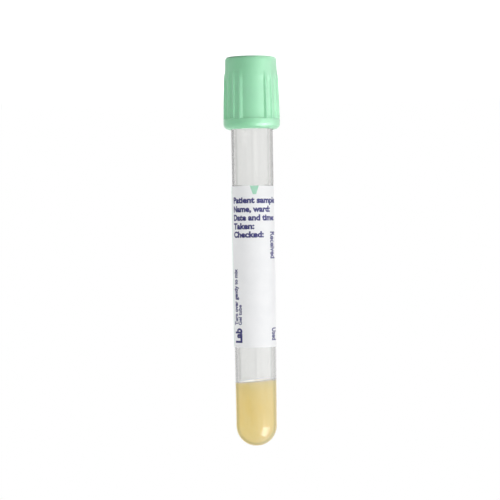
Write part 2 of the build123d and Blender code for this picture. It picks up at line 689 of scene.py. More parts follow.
@dataclass(frozen=True, kw_only=True)
class ClearPlastic(Finish):
    """Clear moulded plastic of the tube, with faint draw lines and smears, and painted shade
    where its wall is seen at a slant.

    Attributes:
        painted_rim_shade: Painted shade, the darker colour that the wall takes where it is seen
            at a slant.
        slant_from: How far it is turned away where that painted shade sets in.
        slant_to: How far it is turned away where the painted shade is gone again.
        passed: What is left of the light that crosses a face.
        depth_colour: Colour that the wall's thickness brings.
        depth_density: How dense the wall is.
    """

    name: str = "clear_plastic"
    colour: Colour = (0.94, 0.942, 0.935)
    second: Colour = (0.90, 0.905, 0.90)
    cloud: Cloud | None = None
    roughness: Cloud = Cloud(260.0, 0.008, 0.025, along=0.12)
    relief: Relief = Relief(900.0, 0.06, 1.0, 0.12, 0.25 * MM, along=0.12)
    refraction: float = 1.57
    rubs: float = 0.5
    rubs_roughen: float = 0.04
    # Painted shade: colour that darkens the wall near its edges, where it is seen at a slant.
    painted_rim_shade: Colour = (0.66, 0.66, 0.655)
    slant_from: tuple[float, float] = (0.40, 0.55)
    slant_to: tuple[float, float] = (0.80, 0.64)
    passed: Colour = (0.98, 0.98, 0.975)
    depth_colour: Colour = (0.50, 0.50, 0.485)
    depth_density: float = 200.0

    def coloured(self, sheet: NodeSheet, shared: SharedEffects, rubs: Any) -> Socket:
        """Tint the wall, and paint shade on it where it is seen at a slant.

        Args:
            sheet: The material's sheet.
            shared: The shared node groups.
            rubs: Mask of the rubs.

        Returns:
            The colour's socket.
        """
        turned_away = sheet.add("ShaderNodeLayerWeight", {"Blend": 0.5}).outputs["Facing"]
        # Painted shade: the wall's colour darkens in a band near its edges, where it is seen at a
        # slant, and is plain again at the very edge.
        rim_shade_share = sheet.ramp(turned_away, *self.slant_from)
        rim_shade_share = sheet.math("MULTIPLY", rim_shade_share, sheet.ramp(turned_away, *self.slant_to))
        return sheet.mix(rim_shade_share, super().coloured(sheet, shared, rubs), self.painted_rim_shade)

    def plain(self) -> dict[str, Any]:
        """Plain values of clear plastic."""
        return {"Transmission Weight": 1.0, "Metallic": 0.0, "Specular IOR Level": 0.62}

    def put_out(self, sheet: NodeSheet, shell: Node) -> dict[str, Socket]:
        """Let light through the wall on its way to the gel and the label's back.

        Args:
            sheet: The material's sheet.
            shell: The main shader.

        Returns:
            The surface's and the volume's sockets.
        """
        passing = sheet.add("ShaderNodeBsdfTransparent", {"Color": (*self.passed, 1.0)})
        surface = sheet.blend(sheet.seen("Is Shadow Ray", "Is Diffuse Ray"), shell, passing)
        values = {"Color": (*self.depth_colour, 1.0), "Density": self.depth_density}
        depth = sheet.add("ShaderNodeVolumeAbsorption", values)
        return {"Surface": surface.outputs[0], "Volume": depth.outputs[0]}


@dataclass(frozen=True, kw_only=True)
class SatinPlastic(Finish):
    """Opaque satin moulded plastic of the closure's shield.

    Attributes:
        rubbed: Its colour where it is rubbed.
        glow: Share of the light that enters it.
        glow_radius: How far that light spreads, by colour.
        glow_scale: Scale of that spread.
    """

    name: str = "mint_plastic"
    colour: Colour = (0.225, 0.71, 0.38)
    second: Colour = (0.27, 0.74, 0.42)
    cloud: Cloud = Cloud(150.0, 0.0, 0.55, along=0.35)
    roughness: Cloud = Cloud(420.0, 0.42, 0.52)
    relief: Relief = Relief(5200.0, 0.5, 1.2, 0.16, 0.12 * MM)
    refraction: float = 1.5
    rubs: float = 0.35
    rubs_roughen: float = 0.15
    rubbed: Colour = (0.34, 0.78, 0.48)
    glow: float = 0.35
    glow_radius: Colour = (0.8, 1.4, 1.0)
    glow_scale: float = 1.4 * MM

    def coloured(self, sheet: NodeSheet, shared: SharedEffects, rubs: Any) -> Socket:
        """Mix the colours, paler where the plastic is rubbed."""
        return sheet.mix(rubs, super().coloured(sheet, shared, rubs), self.rubbed)

    def plain(self) -> dict[str, Any]:
        """Plain values of satin plastic."""
        return {
            "Specular IOR Level": 1.0,
            "Coat Weight": 1.0,
            "Coat IOR": 2.0,
            "Coat Roughness": 0.46,
            "Sheen Weight": 0.25,
            "Sheen Roughness": 0.7,
            "Subsurface Weight": self.glow,
            "Subsurface Radius": self.glow_radius,
            "Subsurface Scale": self.glow_scale,
        }


@dataclass(frozen=True, kw_only=True)
class StopperRubber(Finish):
    """Smooth grey rubber with a bloom of dust."""

    name: str = "stopper_rubber"
    colour: Colour = (0.17, 0.18, 0.18)
    second: Colour = (0.29, 0.30, 0.30)
    cloud: Cloud = Cloud(380.0, 0.0, 0.6)
    roughness: Cloud = Cloud(700.0, 0.5, 0.68)
    relief: Relief = Relief(7000.0, 0.8, 0.4, 0.3, 0.08 * MM)
    refraction: float = 1.5


@dataclass(frozen=True, kw_only=True)
class LabelFilm(Finish):
    """White printed film that lets a little light through, with a soft sheen.

    Attributes:
        passing: Share of the light on it that comes out of its other face.
        passed: Colour of that light.
        lit_through: Share of the light round it that each face lets on to its inner face.
    """

    name: str = "label_film"
    colour: Colour = (0.925, 0.93, 0.94)
    second: Colour = (0.865, 0.875, 0.89)
    cloud: Cloud = Cloud(300.0, 0.0, 0.5)
    roughness: Cloud = Cloud(800.0, 0.32, 0.48)
    relief: Relief = Relief(3800.0, 0.35, 0.8, 0.1, 0.1 * MM)
    refraction: float = 1.47
    rubs: float = 0.3
    rubs_roughen: float = 0.2
    passing: float = 0.05
    passed: Colour = (0.95, 0.95, 0.95)
    lit_through: float = 0.75

    def plain(self) -> dict[str, Any]:
        """Plain values of film."""
        return {"Specular IOR Level": 0.35}

    def put_out(self, sheet: NodeSheet, shell: Node) -> dict[str, Socket]:
        """Let some light through the film, so that its inner face isn't dark.

        Args:
            sheet: The material's sheet.
            shell: The main shader.

        Returns:
            The surface's socket.
        """
        passed = sheet.add("ShaderNodeBsdfTranslucent", {"Color": (*self.passed, 1.0)})
        film = sheet.blend(self.passing, shell, passed)
        clear = sheet.add("ShaderNodeBsdfTransparent", {"Color": WHITE})
        lighting = sheet.seen("Is Shadow Ray", "Is Diffuse Ray")
        surface = sheet.blend(sheet.math("MULTIPLY", lighting, self.lit_through), film, clear)
        return {"Surface": surface.outputs[0]}


@dataclass(frozen=True, kw_only=True)
class PrintedInk(Finish):
    """Ink on the label, a little uneven where the film took less of it."""

    cloud: Cloud = Cloud(1400.0, 0.0, 0.8)
    roughness: Cloud = Cloud(900.0, 0.38, 0.55)
    relief: Relief = Relief(6000.0, 0.6, 0.2, 0.12, 0.04 * MM)
    refraction: float = 1.45


@dataclass(frozen=True, kw_only=True)
class SeparatorGelFinish(Finish):
    """Cloudy amber gel that light enters, with streaks along the tube.

    Attributes:
        streak: Colour of its streaks.
        streaks: Where they are.
        glow_radius: How far light spreads in it, by colour.
        glow_scale: Scale of that spread.
    """

    name: str = "separator_gel"
    colour: Colour = (0.94, 0.445, 0.16)
    second: Colour = (0.945, 0.49, 0.21)
    cloud: Cloud = Cloud(150.0, 0.0, 1.0, along=0.45)
    roughness: Cloud = Cloud(500.0, 0.25, 0.4)
    relief: Relief = Relief(1500.0, 0.3, 1.0, 0.1, 0.2 * MM)
    refraction: float = 1.36
    streak: Colour = (0.936, 0.435, 0.12)
    streaks: Cloud = Cloud(90.0, 0.0, 0.55, along=0.2)
    glow_radius: Colour = (1.0, 0.9, 0.7)
    glow_scale: float = 60.0 * MM

    def coloured(self, sheet: NodeSheet, shared: SharedEffects, rubs: Any) -> Socket:
        """Mix the colours and the streaks."""
        clouded = super().coloured(sheet, shared, rubs)
        return sheet.mix(self.streaks.lay(sheet, shared), clouded, self.streak)

    def plain(self) -> dict[str, Any]:
        """Plain values of gel."""
        return {
            "Specular IOR Level": 0.25,
            "Subsurface Weight": 1.0,
            "Subsurface Radius": self.glow_radius,
            "Subsurface Scale": self.glow_scale,
        }


class Finishes:
    """Every finish of the object, built once."""

    def __init__(self) -> None:
        """Build the shared groups and the materials that place them."""
        shared = SharedEffects()
        navy = PrintedInk(name="navy_ink", colour=(0.035, 0.035, 0.16), second=(0.09, 0.09, 0.26))
        mint = PrintedInk(name="mint_ink", colour=(0.36, 0.68, 0.50), second=(0.45, 0.75, 0.59))
        self.clear_plastic = ClearPlastic().build(shared)
        self.mint_plastic = SatinPlastic().build(shared)
        self.stopper_rubber = StopperRubber().build(shared)
        self.label_film = LabelFilm().build(shared)
        self.navy_ink = navy.build(shared)
        self.mint_ink = mint.build(shared)
        self.gel = SeparatorGelFinish().build(shared)


# --- Tube and gel ----------------------------------------------------------------------


@dataclass
class Tube:
    """The clear tube: a straight body that narrows to a rounded end."""

    line: TubeLine
    length: float = 100.0 * MM
    radius: float = 6.0 * MM
    foot_radius: float = 5.875 * MM
    wall: float = 0.9 * MM
    straight_from: float = 27.0 * MM
    end_floor: float = 1.3 * MM
    gate_radius: float = 1.2 * MM
    gate_stub_radius: float = 0.55 * MM
    gate_stub_sink: float = 0.12 * MM
    gate_stub_draft: float = 0.1 * MM
    gate_stub_round: Rounding = (0.08 * MM, 3)
    rim_round: Rounding = (0.2 * MM, 6)
    steps: int = 160
    arc_steps: int = 28

    @property
    def bore_radius(self) -> float:
        """Radius of the inner wall of the straight body."""
        return self.radius - self.wall

    def draw_bore(self, outline: Outline, inset: float) -> None:
        """Draw the inner wall from its straight part to the axis.

        Args:
            outline: The outline to draw on.
            inset: How far inside the wall, or into it if negative.
        """
        end_radius = self.foot_radius - self.wall - inset
        centre = self.end_floor + self.foot_radius - self.wall
        outline.draw(
            (self.bore_radius - inset, self.straight_from),
            (end_radius, centre),
        )
        outline.arc(centre, -math.pi / 2, self.arc_steps)

    def build(self, finish: Material) -> None:
        """Make the tube.

        Args:
            finish: Its material.
        """
        centre = math.sqrt(self.foot_radius**2 - self.gate_radius**2)
        gate_angle = math.asin(self.gate_radius / self.foot_radius)
        outline = Outline(self.line)
        outline.draw(
            (0, self.gate_stub_sink),
            (self.gate_stub_radius, self.gate_stub_sink, self.gate_stub_round),
            (self.gate_stub_radius + self.gate_stub_draft, 0.0),
            (self.gate_radius, 0.0),
        )
        outline.arc(centre, math.pi / 2 - gate_angle, self.arc_steps)
        outline.draw(
            (self.radius, self.straight_from),
            (self.radius, self.length, self.rim_round),
            (self.bore_radius, self.length, self.rim_round),
        )
        self.draw_bore(outline, 0.0)
        bm = outline.turned(self.steps)
        piece = finished(bm, "tube_body", Body.TUBE, finish)
        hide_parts("tube")


@dataclass
class GelPlug:
    """Separator gel in the rounded end, wetting the wall and set at a slant.

    Attributes:
        tube: The tube that it fills.
        height: Height of its surface on the axis.
        slant: Slant of its surface.
        wetting: How far it reaches into the wall's inner face.
        creep: Width and rise of each step from the rim, which creeps up the wall.
        steps: Segments round.
    """

    tube: Tube
    height: float = 18.8 * MM
    slant: float = math.radians(5.0)
    wetting: float = 0.02 * MM
    creep: tuple[tuple[float, float], ...] = (
        (0.12 * MM, -0.16 * MM),
        (0.2 * MM, -0.12 * MM),
        (0.4 * MM, -0.08 * MM),
    )
    steps: int = 144

    def build(self, finish: Material) -> None:
        """Make the gel.

        Args:
            finish: Its material.
        """
        line = self.tube.line
        outline = Outline(line)
        outline.draw((0, self.tube.straight_from))
        self.tube.draw_bore(outline, -self.wetting)
        bm = outline.turned(self.steps)
        bmesh.ops.bisect_plane(
            bm,
            geom=[*bm.verts, *bm.edges, *bm.faces],
            plane_co=line.place(0, 0, self.height),
            plane_no=(math.sin(self.slant), 0, -math.cos(self.slant)),
            clear_outer=True,
        )
        rim = [edge for edge in bm.edges if edge.is_boundary]
        surface = bmesh.ops.holes_fill(bm, edges=rim, sides=0)["faces"]
        bmesh.ops.recalc_face_normals(bm, faces=bm.faces)
        for width, rise in self.creep:
            bmesh.ops.inset_region(
                bm, faces=surface, thickness=width, depth=rise, use_even_offset=True
            )
        piece = finished(bm, "gel_plug", Body.TUBE, finish)
        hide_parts("separator_gel")


# --- Closure ---------------------------------------------------------------------------


@dataclass
class ShieldRibs:
    """Finger ribs of the closure's shield, in groups.

    Attributes:
        groups: How many groups.
        per_group: Ribs in a group.
        step: Turn from rib to rib.
        turn: Turn of the middle of the front panel.
        flank: Width of the flank at the side of a group that is on the right.
        steep_flank: Width of the flank at its left side.
        swell: How round those flanks are.
        sharpness: How narrow the ribs are against the valleys between them.
        valley: Height of a valley over the panels.
        crest_at_band: Radius of the crests at the lower band.
        crest_at_top: Radius of the crests at the panels' top.
        run_out: Length in which the crests run out above the panels.
        run_out_sink: How far under the upper band's skin they end.
    """

    groups: int = 3
    per_group: int = 5
    step: float = math.radians(15.5)
    turn: float = math.radians(3.2)
    flank: float = 1.0 * MM
    steep_flank: float = 0.62 * MM
    swell: float = 0.35
    sharpness: int = 6
    valley: float = 0.06 * MM
    crest_at_band: float = 8.15 * MM
    crest_at_top: float = 7.885 * MM
    run_out: float = 3.5 * MM
    run_out_sink: float = 0.03 * MM

    def lift(self, turn: float, radius: float, rise: float) -> float:
        """Height of the ribbed skin over the panels' skin.

        Args:
            turn: Turn round the axis.
            radius: The panels' radius.
            rise: Height of the crests over the panels.

        Returns:
            The height.
        """
        group_turn = FULL_TURN / self.groups
        aside = math.remainder(turn - self.turn - group_turn / 2, group_turn)
        off_middle = abs(aside)
        last = self.step * (self.per_group - 1) / 2
        if off_middle < last:
            crest = math.cos(math.pi * (last - off_middle) / self.step) ** self.sharpness
            valley = min(self.valley, rise)
            return valley + (rise - valley) * crest
        flank = self.flank if aside > 0 else self.steep_flank
        share = min((off_middle - last) * radius / flank, 1.0)
        return rise * (1 - share + self.swell * math.sin(FULL_TURN * share) / FULL_TURN)


@dataclass
class Shield:
    """The closure's ribbed shield: skirt, lower band, panels, upper band and top."""

    line: TubeLine
    ribs: ShieldRibs
    foot: float = 91.15 * MM
    top: float = 112.0 * MM
    skirt_bore: float = 6.3 * MM
    band_radius: float = 8.17 * MM
    band_height: float = 2.95 * MM
    panel_top: float = 13.65 * MM
    panel_slope: float = 1.5 * MM
    recess_at_top: float = 0.12 * MM
    recess_at_band: float = 0.32 * MM
    top_radius: float = 7.4 * MM
    draft: float = math.radians(1.8)
    well_radius: float = 4.25 * MM
    web: float = 3.0 * MM
    neck_radius: float = 5.55 * MM
    seat_radius: float = 6.75 * MM
    seat_top: float = 103.05 * MM
    seat_foot: float = 99.95 * MM
    skin_from: float = 0.2 * MM
    skirt_lip: Rounding = (0.12 * MM, 3)
    lower_round: Rounding = (1.7 * MM, 12)
    band_edge: Rounding = (0.2 * MM, 4)
    panel_foot: Rounding = (0.12 * MM, 3)
    slope_round: Rounding = (0.3 * MM, 2)
    top_edge: Rounding = (0.9 * MM, 9)
    well_edge: Rounding = (0.4 * MM, 5)
    well_foot: Rounding = (0.15 * MM, 2)
    seat_round: Rounding = (0.3 * MM, 2)
    bore_edge: Rounding = (0.15 * MM, 2)
    row_at_run_out: float = 0.27 * MM
    run_out_margins: tuple[float, float] = (0.3 * MM, 1.0 * MM)
    row_at_panels: float = 1.6 * MM
    sharp_from: float = math.radians(50)
    steps: int = 720

    @property
    def band_top(self) -> float:
        """Height of the lower band's upper edge."""
        return self.foot + self.band_height

    @property
    def full_to(self) -> float:
        """Height up to which the panels and the ribs have their full depth."""
        return self.foot + self.panel_top

    def upper_line(self, height: float) -> float:
        """Radius of the upper band's line at a height."""
        return self.top_radius + (self.top - height) * math.tan(self.draft)

    def crest(self, height: float) -> float:
        """Radius of the crests at a height.

        Args:
            height: The height.

        Returns:
            The radius.
        """
        low, high = self.ribs.crest_at_band, self.ribs.crest_at_top
        if height < self.full_to:
            return low + (height - self.band_top) / (self.full_to - self.band_top) * (high - low)
        end = self.full_to + self.ribs.run_out
        share = ((height - self.full_to) / (end - self.full_to)) ** 2
        return high + share * (self.upper_line(end) - self.ribs.run_out_sink - high)

    def raise_ribs(self, bm: Mesh) -> None:
        """Lift the skin of the shield into ribs.

        Args:
            bm: The turned shield.
        """
        end = self.full_to + self.ribs.run_out
        for vert in bm.verts:
            height = self.line.height_of(vert.co)
            radius = math.hypot(vert.co.x, vert.co.y)
            ribbed = self.band_top - LEVEL < height < end
            if not ribbed or radius < self.seat_radius + self.skin_from:
                continue
            rise = self.crest(height) - radius
            if rise > 0:
                lift = 1 + self.ribs.lift(self.line.turn_of(vert.co), radius, rise) / radius
                vert.co.x *= lift
                vert.co.y *= lift

    def build(self, finish: Material) -> None:
        """Make the shield.

        Args:
            finish: Its material.
        """
        band_top, full_to = self.band_top, self.full_to
        slope_top = full_to + self.panel_slope
        web_under = self.top - self.web
        panel_foot_radius = self.upper_line(band_top) - self.recess_at_band
        panel_top_radius = self.upper_line(full_to) - self.recess_at_top
        outline = Outline(self.line)
        outline.draw(
            (self.skirt_bore, self.foot, self.skirt_lip),
            (self.band_radius, self.foot, self.lower_round),
            (self.band_radius, band_top, self.band_edge),
            (panel_foot_radius, band_top, self.panel_foot),
            (panel_top_radius, full_to, self.slope_round),
            (self.upper_line(slope_top), slope_top, self.slope_round),
            (self.top_radius, self.top, self.top_edge),
            (self.well_radius, self.top, self.well_edge),
            (self.well_radius, web_under, self.well_foot),
            (self.neck_radius, web_under),
            (self.neck_radius, self.seat_top),
            (self.seat_radius, self.seat_top, self.seat_round),
            (self.seat_radius, self.seat_foot),
            (self.skirt_bore, self.seat_foot, self.bore_edge),
        )
        outline.close()
        outline.round_corners()
        below, above = self.run_out_margins
        run_out_top = full_to + self.ribs.run_out + above
        outline.divide(self.row_at_run_out, full_to - below, run_out_top)
        outline.divide(self.row_at_panels, band_top, full_to)
        bm = outline.turned(self.steps)
        self.raise_ribs(bm)
        piece = finished(bm, "shield", Body.CLOSURE, finish, self.sharp_from)
        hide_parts("closure_shield")


@dataclass
class Stopper:
    """Rubber stopper inside the shield, with its septum at the bottom of a well."""

    line: TubeLine
    plug_foot: float = 92.5 * MM
    seat: float = 100.0 * MM
    plug_radius: float = 5.07 * MM
    plug_chamfer: float = 0.7 * MM
    flange_radius: float = 6.7 * MM
    flange_top: float = 103.0 * MM
    neck_radius: float = 5.5 * MM
    top: float = 108.95 * MM
    well_radius: float = 4.45 * MM
    septum_top: float = 101.1 * MM
    hollow_top: float = 97.1 * MM
    hollow_radius: float = 3.4 * MM
    pierce_radius: float = 1.3 * MM
    pierce_sink: float = 0.35 * MM
    pierce_draft: float = 0.4 * MM
    hollow_round: Rounding = (0.5 * MM, 4)
    hollow_edge: Rounding = (0.25 * MM, 3)
    plug_nose: Rounding = (0.2 * MM, 3)
    plug_shoulder: Rounding = (0.3 * MM, 3)
    seat_round: Rounding = (0.1 * MM, 2)
    flange_foot: Rounding = (0.15 * MM, 3)
    flange_edge: Rounding = (0.25 * MM, 3)
    neck_foot: Rounding = (0.15 * MM, 2)
    top_edge: Rounding = (0.2 * MM, 3)
    well_edge: Rounding = (0.25 * MM, 4)
    well_foot: Rounding = (0.5 * MM, 5)
    steps: int = 128

    def build(self, finish: Material) -> None:
        """Make the stopper.

        Args:
            finish: Its material.
        """
        pierced = self.septum_top - self.pierce_sink
        outline = Outline(self.line)
        outline.draw(
            (0, self.hollow_top),
            (self.hollow_radius, self.hollow_top, self.hollow_round),
            (self.hollow_radius, self.plug_foot, self.hollow_edge),
            (self.plug_radius - self.plug_chamfer, self.plug_foot, self.plug_nose),
            (self.plug_radius, self.plug_foot + self.plug_chamfer, self.plug_shoulder),
            (self.plug_radius, self.seat, self.seat_round),
            (self.flange_radius, self.seat, self.flange_foot),
            (self.flange_radius, self.flange_top, self.flange_edge),
            (self.neck_radius, self.flange_top, self.neck_foot),
            (self.neck_radius, self.top, self.top_edge),
            (self.well_radius, self.top, self.well_edge),
            (self.well_radius, self.septum_top, self.well_foot),
            (self.pierce_radius, self.septum_top, self.well_edge),
            (self.pierce_radius - self.pierce_draft, pierced, self.well_edge),
            (0, pierced),
        )
        bm = outline.turned(self.steps)
        piece = finished(bm, "stopper_plug", Body.CLOSURE, finish)
        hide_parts("stopper")


# --- Label -----------------------------------------------------------------------------


@dataclass(frozen=True)
class Words:
    """A line of print on the label, in degrees and millimetres.

    Attributes:
        text: What it says.
        turn: Turn of its left end, or of its middle where it runs along the tube.
        height: Height of its middle, or of its lowest end where it runs along the tube.
        length: Length of the line.
        capital: Height of its capitals.
        weight: How much its strokes are thickened, as a share of the text's size.
        reading: Which way it runs.
    """

    text: str
    turn: float
    height: float
    length: float
    capital: float
    weight: float = 0.0
    reading: Reading = Reading.ACROSS


@dataclass
class Label:
    """Printed film wrapped round the tube, open at the back.

    Attributes:
        window: Turn that it leaves open at the back.
        ink: Thickness of the print.
        ink_proud: Share of that thickness by which the print's middle stands proud.
        strip: Width of the strips that the print is cut into before it is bent.
        letter_steps: Segments of each curve of a letter.
        pointer_turn: Turn of the fill pointer's middle, in degrees.
        pointer: Its corners from the film's upper edge, in millimetres.
        stripe: Turns between which the edge stripe lies, in degrees.
        box_place: Turn of the tick box's middle, in degrees, and its height.
    """

    line: TubeLine
    inner_radius: float = 6.02 * MM
    outer_radius: float = 6.12 * MM
    foot: float = 28.45 * MM
    height: float = 46.35 * MM
    window: float = math.radians(76.0)
    ink: float = 0.012 * MM
    ink_proud: float = 0.25
    strip: float = 0.36 * MM
    letter_steps: int = 3
    steps: int = 142
    pointer_turn: float = 4.0
    pointer: tuple[tuple[float, float], ...] = (
        (-1.3, 0.0),
        (1.3, 0.0),
        (0.45, -2.45),
        (-0.45, -2.45),
    )
    stripe: tuple[float, float] = (-104.0, -80.0)
    box_place: tuple[float, float] = (66.0, 43.4 * MM)
    box_side: float = 1.3 * MM
    box_stroke: float = 0.16 * MM
    words: tuple[Words, ...] = (
        Words("Patient sample:", -65, 70.7, 15.8, 1.6, 0.05),
        Words("Name, ward:", -65, 68.15, 12.4, 1.6, 0.05),
        Words("Date and time:", -65, 65.7, 14.6, 1.6, 0.05),
        Words("Taken:", -65, 63.25, 7.2, 1.6, 0.05),
        Words("Checked:", -65, 60.85, 10.0, 1.6, 0.05),
        Words("Turn over gently to mix", -60, 34.9, 16.1, 1.6, 0.04, Reading.TO_CLOSURE),
        Words("Gel tube", -44, 34.9, 5.8, 1.2, 0.03, Reading.TO_CLOSURE),
        Words("Lab", -51.5, 29.8, 4.2, 2.7, 0.05, Reading.TO_CLOSURE),
        Words("Received", 63, 53.9, 7.7, 2.4, 0.03, Reading.TO_END),
        Words("Used", 64, 30.4, 3.6, 2.4, 0.03, Reading.TO_END),
    )

    @property
    def top(self) -> float:
        """Height of the film's upper edge."""
        return self.foot + self.height

    def across(self, degrees: float) -> float:
        """Distance along the film from its front to a turn."""
        return math.radians(degrees) * self.outer_radius

    def build(self, finishes: Finishes) -> None:
        """Make the film and its print.

        Args:
            finishes: The object's materials.
        """
        outline = Outline(self.line)
        outline.draw(
            (self.inner_radius, self.foot),
            (self.outer_radius, self.foot),
            (self.outer_radius, self.top),
            (self.inner_radius, self.top),
        )
        outline.close()
        half = math.pi - self.window / 2
        wrap = outline.swept(self.steps, -half, half)
        film = finished(wrap, "label_wrap", Body.TUBE, finishes.label_film)
        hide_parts("label")
        for bm, name, ink in (
            (self.printed_words(), "label_print", finishes.navy_ink),
            (self.printed_marks(), "label_mark", finishes.mint_ink),
        ):
            finished(bm, name, Body.TUBE, ink)

    def printed_words(self) -> Mesh:
        """Lay out the words and the small tick box, and bend them round the tube.

        Returns:
            The print's mesh.
        """
        bm = bmesh.new()
        for words in self.words:
            self.lay_words(bm, words)
        turn, height = self.box_place
        middle, half = self.across(turn), self.box_side / 2
        signs = ((-1, -1), (1, -1), (1, 1), (-1, 1))
        box = [(middle + x * half, height + y * half) for x, y in signs]
        self.lay_sheet(bm, box, self.box_stroke)
        return self.bent(bm)

    def printed_marks(self) -> Mesh:
        """Lay out the mint fill pointer and edge stripe, and bend them round the tube.

        Returns:
            The marks' mesh.
        """
        bm = bmesh.new()
        middle = self.across(self.pointer_turn)
        self.lay_sheet(bm, [(middle + x * MM, self.top + y * MM) for x, y in self.pointer])
        start, end = (self.across(turn) for turn in self.stripe)
        stripe = [(start, self.foot), (end, self.foot), (end, self.top), (start, self.top)]
        self.lay_sheet(bm, stripe)
        return self.bent(bm)

    def lay_words(self, bm: Mesh, words: Words) -> None:
        """Add one line of print to a flat layout, whose Y runs up the tube.

        Args:
            bm: The layout.
            words: The line.
        """
        curve = bpy.data.curves.new(words.text, "FONT")
        curve.body = words.text
        curve.offset = words.weight
        curve.extrude = 1.0
        curve.resolution_u = self.letter_steps
        holder = bpy.data.objects.new(words.text, curve)
        mesh = bpy.data.meshes.new_from_object(holder)
        low = min(vert.co.x for vert in mesh.vertices)
        high = max(vert.co.x for vert in mesh.vertices)
        tall = words.capital * MM / CAPITAL_SHARE
        wide = words.length * MM / (high - low)
        mesh.transform(Matrix.Translation((-low, 0, 0)))
        mesh.transform(Matrix.Diagonal((wide, tall, self.ink / 2, 1)))
        mesh.transform(Matrix.Translation((0, -words.capital * MM / 2, 0)))
        start = Vector((self.across(words.turn), words.height * MM, 0))
        if words.reading is Reading.TO_END:
            start.y += words.length * MM
        mesh.transform(Matrix.Translation(start) @ Matrix.Rotation(words.reading.value, 4, "Z"))
        bm.from_mesh(mesh)
        bpy.data.objects.remove(holder)
        bpy.data.curves.remove(curve)
        bpy.data.meshes.remove(mesh)

    def lay_sheet(
        self, bm: Mesh, corners: list[tuple[float, float]], frame_width: float = 0.0
    ) -> None:
        """Add a flat printed shape, or only its frame, to a layout.

        Args:
            bm: The layout.
            corners: The shape's corners.
            frame_width: Width of its frame, or 0 for a filled shape.
        """
        faces = [bm.faces.new([bm.verts.new((x, y, -self.ink / 2)) for x, y in corners])]
        if frame_width:
            ring = bmesh.ops.inset_region(bm, faces=faces, thickness=frame_width)["faces"]
            bmesh.ops.delete(bm, geom=faces, context="FACES")
            faces = ring
        made = bmesh.ops.extrude_face_region(bm, geom=faces, use_keep_orig=True)
        lifted = [item for item in made["geom"] if isinstance(item, bmesh.types.BMVert)]
        bmesh.ops.translate(bm, verts=lifted, vec=(0, 0, self.ink))

    def bent(self, bm: Mesh) -> Mesh:
        """Cut a flat layout into strips and wrap it round the label.

        Args:
            bm: The layout, with X along the label, Y up the tube and Z outwards.

        Returns:
            The same mesh, in place.
        """
        reach = math.pi * self.outer_radius
        cut = -reach
        while cut < reach:
            geom = [*bm.verts, *bm.edges, *bm.faces]
            bmesh.ops.bisect_plane(bm, geom=geom, plane_co=(cut, 0, 0), plane_no=(1, 0, 0))
            cut += self.strip
        middle = self.outer_radius + self.ink * self.ink_proud
        for vert in bm.verts:
            across, height, lift = vert.co
            vert.co = self.line.place(across / self.outer_radius, middle + lift, height)
        return cleaned(bm)


# --- Studio ----------------------------------------------------------------------------


@dataclass(frozen=True)
class Softbox:
    """A flat lamp that faces the middle of the object.

    Attributes:
        name: Its name.
        turn: Its direction round the object, in degrees from the label's front
            towards the label's right.
        rise: Its angle above the horizon, in degrees.
        away: Its distance from what it faces.
        width: Its width.
        height: Its height.
        power: Its power, in watts.
        mirrored: Whether it shows in the gloss.
    """

    name: str
    turn: float
    rise: float
    away: float
    width: float
    height: float
    power: float
    mirrored: bool = True

    def build(self, target: Vector) -> None:
        """Place the lamp.

        Args:
            target: What it faces.
        """
        turn, rise = math.radians(self.turn), math.radians(self.rise)
        flat = Vector((-math.sin(turn), -math.cos(turn), 0)) * math.cos(rise)
        towards = flat + Vector((0, 0, math.sin(rise)))
        lamp = bpy.data.lights.new(self.name, "AREA")
        lamp.shape = "RECTANGLE"
        lamp.size = self.width
        lamp.size_y = self.height
        lamp.energy = self.power
        holder = bpy.data.objects.new(self.name, lamp)
        holder.location = target + towards * self.away
        holder.rotation_euler = towards.to_track_quat("Z", "Y").to_euler()
        holder.visible_glossy = self.mirrored
        bpy.context.scene.collection.objects.link(holder)


